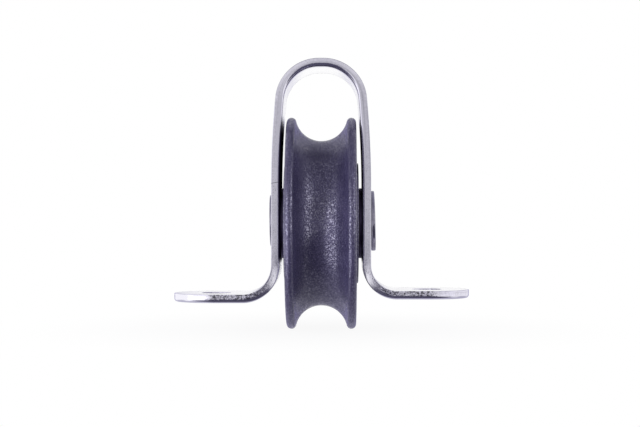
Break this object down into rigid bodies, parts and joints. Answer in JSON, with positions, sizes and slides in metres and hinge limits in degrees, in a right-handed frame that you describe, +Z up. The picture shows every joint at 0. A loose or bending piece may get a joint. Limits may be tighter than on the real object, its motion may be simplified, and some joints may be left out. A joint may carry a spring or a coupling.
{
  "type": "sailing block",
  "caption": "Upright sailing block: a grooved sheave turns on a riveted axle inside an arched steel strap whose round-ended feet screw down over a slot.",
  "frame": {"origin": "on the surface that the feet are screwed to, midway between the screw holes", "axes": "+X along the axle towards its flat head, +Y along the rope, +Z up from the mounting surface"},
  "size_m": [0.053, 0.038, 0.0481],
  "materials": {
    "bracket_steel": "polished, with fine brush marks",
    "rivet_steel": "polished, with fine brush marks",
    "washer_steel": "satin",
    "sheave_plastic": "satin, with a fine moulded grain"
  },
  "bodies": {
    "frame": {"bracket": "bracket_steel", "axle_rivet": "rivet_steel", "thrust_washer_left": "washer_steel", "thrust_washer_right": "washer_steel"},
    "sheave": {"sheave": "sheave_plastic"}
  },
  "joints": [
    {"name": "sheave_spin", "type": "hinge", "parent": "frame", "child": "sheave", "pos_m": [0, 0, 0.0137], "axis": [1, 0, 0], "continuous": true}
  ]
}
